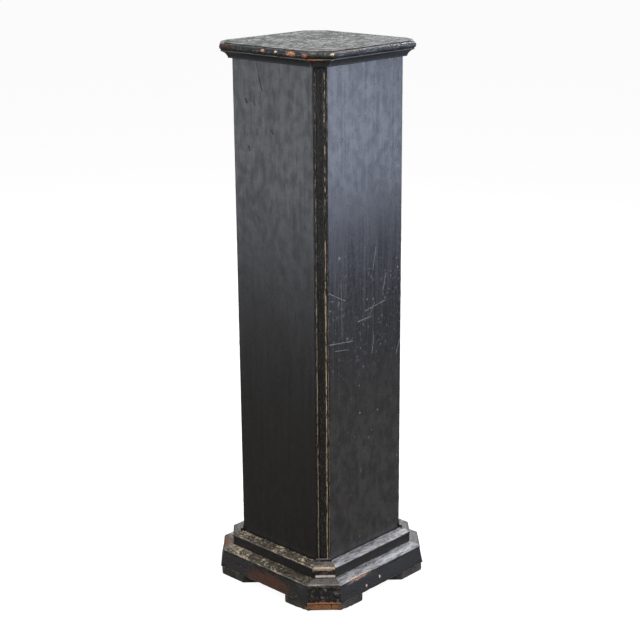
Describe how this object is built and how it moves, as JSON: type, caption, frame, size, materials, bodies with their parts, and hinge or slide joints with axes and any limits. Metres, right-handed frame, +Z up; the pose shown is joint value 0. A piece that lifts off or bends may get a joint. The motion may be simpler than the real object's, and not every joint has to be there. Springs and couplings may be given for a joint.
{
  "type": "display plinth",
  "caption": "Tall square pedestal with clipped reeded corners, moulded top board and a stepped mitred base on block feet, to stand an object on.",
  "frame": {"origin": "on the floor under the middle of the pillar", "axes": "+Z up, -Y the front side, +X the right side; the pillar is the same on all four sides"},
  "size_m": [0.3488, 0.3488, 1.1],
  "materials": {
    "ebonised_wood": "worn black paint over brown wood, satin",
    "worn_foot_wood": "worn black paint with bare orange-brown wood",
    "bare_pine": "bare, aged",
    "steel_screw": "dull"
  },
  "bodies": {
    "root": {"base_board": "bare_pine", "base_screws": "steel_screw", "bottom_bulkhead": "bare_pine", "corner_post_back_left": "ebonised_wood", "corner_post_back_right": "ebonised_wood", "corner_post_front_left": "ebonised_wood", "corner_post_front_right": "ebonised_wood", "cornice_back": "ebonised_wood", "cornice_corner_back_left": "ebonised_wood", "cornice_corner_back_right": "ebonised_wood", "cornice_corner_front_left": "ebonised_wood", "cornice_corner_front_right": "ebonised_wood", "cornice_front": "ebonised_wood", "cornice_left": "ebonised_wood", "cornice_right": "ebonised_wood", "foot_back_left": "worn_foot_wood", "foot_back_right": "worn_foot_wood", "foot_front_left": "worn_foot_wood", "foot_front_right": "worn_foot_wood", "foot_screws": "steel_screw", "frame_back": "ebonised_wood", "frame_corner_back_left": "ebonised_wood", "frame_corner_back_right": "ebonised_wood", "frame_corner_front_left": "ebonised_wood", "frame_corner_front_right": "ebonised_wood", "frame_front": "ebonised_wood", "frame_left": "ebonised_wood", "frame_right": "ebonised_wood", "glue_block_back_left": "bare_pine", "glue_block_back_right": "bare_pine", "glue_block_front_left": "bare_pine", "glue_block_front_right": "bare_pine", "shaft_board_back": "ebonised_wood", "shaft_board_front": "ebonised_wood", "shaft_board_left": "ebonised_wood", "shaft_board_right": "ebonised_wood", "step_back": "ebonised_wood", "step_corner_back_left": "ebonised_wood", "step_corner_back_right": "ebonised_wood", "step_corner_front_left": "ebonised_wood", "step_corner_front_right": "ebonised_wood", "step_front": "ebonised_wood", "step_left": "ebonised_wood", "step_right": "ebonised_wood", "top_board": "ebonised_wood", "top_bulkhead": "bare_pine", "top_screws": "steel_screw"}
  },
  "joints": []
}
